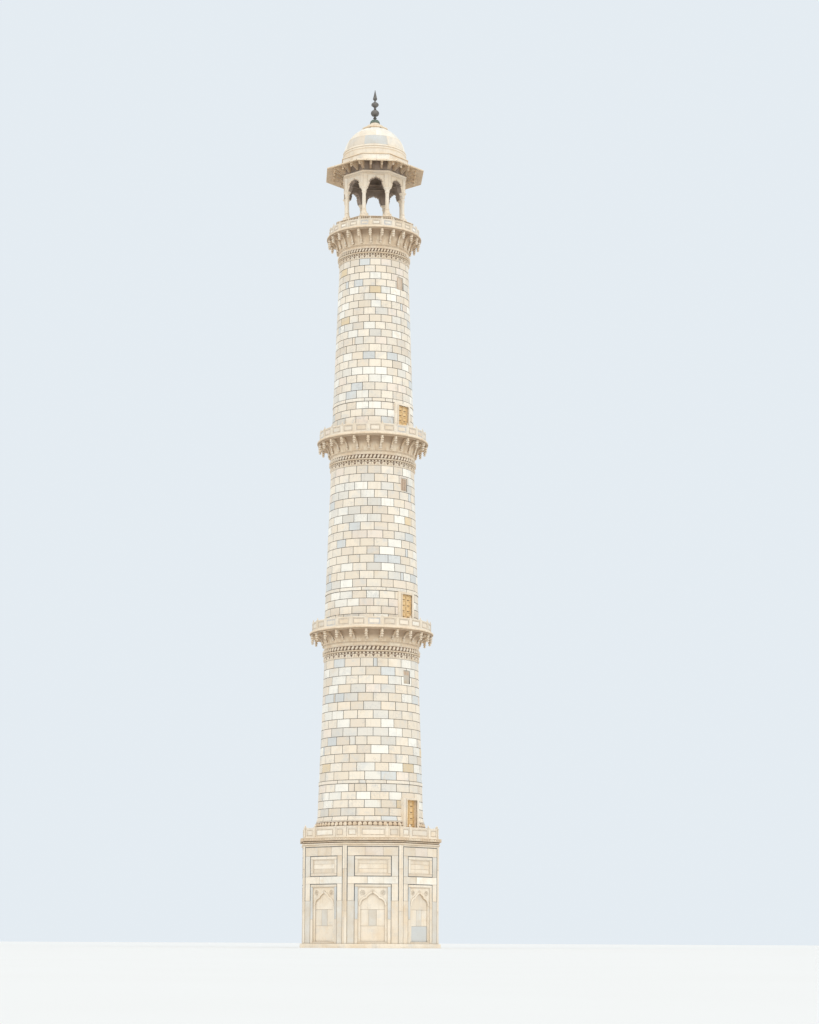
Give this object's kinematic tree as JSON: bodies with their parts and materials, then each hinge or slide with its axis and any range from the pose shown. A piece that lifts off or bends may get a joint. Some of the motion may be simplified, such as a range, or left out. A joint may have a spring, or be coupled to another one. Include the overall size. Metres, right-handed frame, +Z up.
{
  "type": "minaret, scale model at 1:2",
  "caption": "Tapering round marble minaret on an octagonal base, with bracketed balconies and an open domed pavilion under a bronze finial; a 1:2 scale model.",
  "frame": {"origin": "centre of the octagonal base's underside, at ground level", "axes": "+Z up the tower; -Y is the side with the doors and windows; the base's sides are square to X and Y"},
  "size_m": [3.74, 3.74, 23.75],
  "materials": {
    "marble": "honed white marble blocks with cream, pink and blue-grey veining",
    "weathered_marble": "carved marble with ochre weather stains",
    "door_wood": "ochre panelled wood",
    "window_screen": "brown carved screen",
    "finial_bronze": "dark green-grey patinated bronze"
  },
  "bodies": {
    "root": {"base_cornice": "weathered_marble", "base_octagon": "marble", "base_parapet": "marble", "dome": "marble", "dome_drum": "marble", "finial": "finial_bronze", "first_storey_door": "door_wood", "first_storey_door_frame": "marble", "first_storey_lower_wall": "marble", "first_storey_string_course": "marble", "first_storey_upper_wall": "marble", "first_storey_window": "window_screen", "lotus_cap": "weathered_marble", "lower_balcony_corbels": "weathered_marble", "lower_balcony_floor": "weathered_marble", "lower_balcony_parapet": "marble", "middle_balcony_corbels": "weathered_marble", "middle_balcony_floor": "weathered_marble", "middle_balcony_parapet": "marble", "pavilion_arches_back": "marble", "pavilion_arches_front": "marble", "pavilion_arches_left": "marble", "pavilion_arches_right": "marble", "pavilion_column_1": "marble", "pavilion_column_2": "marble", "pavilion_column_3": "marble", "pavilion_column_4": "marble", "pavilion_column_5": "marble", "pavilion_column_6": "marble", "pavilion_column_7": "marble", "pavilion_column_8": "marble", "pavilion_eave": "weathered_marble", "pavilion_entablature": "weathered_marble", "pavilion_plinth": "marble", "second_storey_door": "door_wood", "second_storey_door_frame": "marble", "second_storey_lower_wall": "marble", "second_storey_string_course": "marble", "second_storey_upper_wall": "marble", "second_storey_window": "window_screen", "shaft_foot": "marble", "third_storey_door": "door_wood", "third_storey_door_frame": "marble", "third_storey_lower_wall": "marble", "third_storey_string_course": "marble", "third_storey_upper_wall": "marble", "third_storey_window": "window_screen", "top_balcony_corbels": "weathered_marble", "top_balcony_floor": "weathered_marble", "top_balcony_parapet": "marble"}
  },
  "joints": []
}
